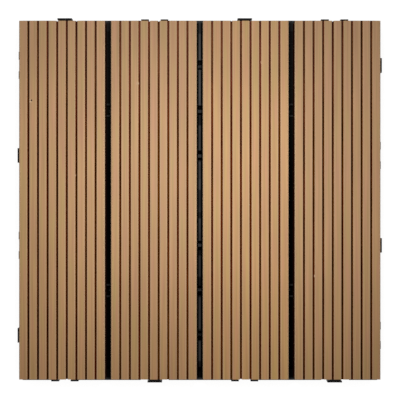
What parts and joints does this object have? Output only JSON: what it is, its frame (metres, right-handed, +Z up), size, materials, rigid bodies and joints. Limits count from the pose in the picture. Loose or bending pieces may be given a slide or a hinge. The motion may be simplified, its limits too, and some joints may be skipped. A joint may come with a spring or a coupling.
{
  "type": "interlocking deck tile",
  "caption": "Square deck tile of grooved wood-composite slats screwed to an open moulded base, with lugs and sockets on all sides that hook into the next tile.",
  "frame": {"origin": "on the ground under the middle of the tile", "axes": "+Z up out of the walking face, the slats and their grooves run along Y, X crosses them"},
  "size_m": [0.3034, 0.3034, 0.022],
  "materials": {
    "slat_composite": "brushed wood-plastic composite, light brown, matt",
    "base_plastic": "black polypropylene, fine moulded texture",
    "screw_steel": "plain stainless steel"
  },
  "bodies": {
    "root": {"base_grid": "base_plastic", "slat_1": "slat_composite", "slat_2": "slat_composite", "slat_3": "slat_composite", "slat_4": "slat_composite", "slat_screws": "screw_steel"}
  },
  "joints": []
}
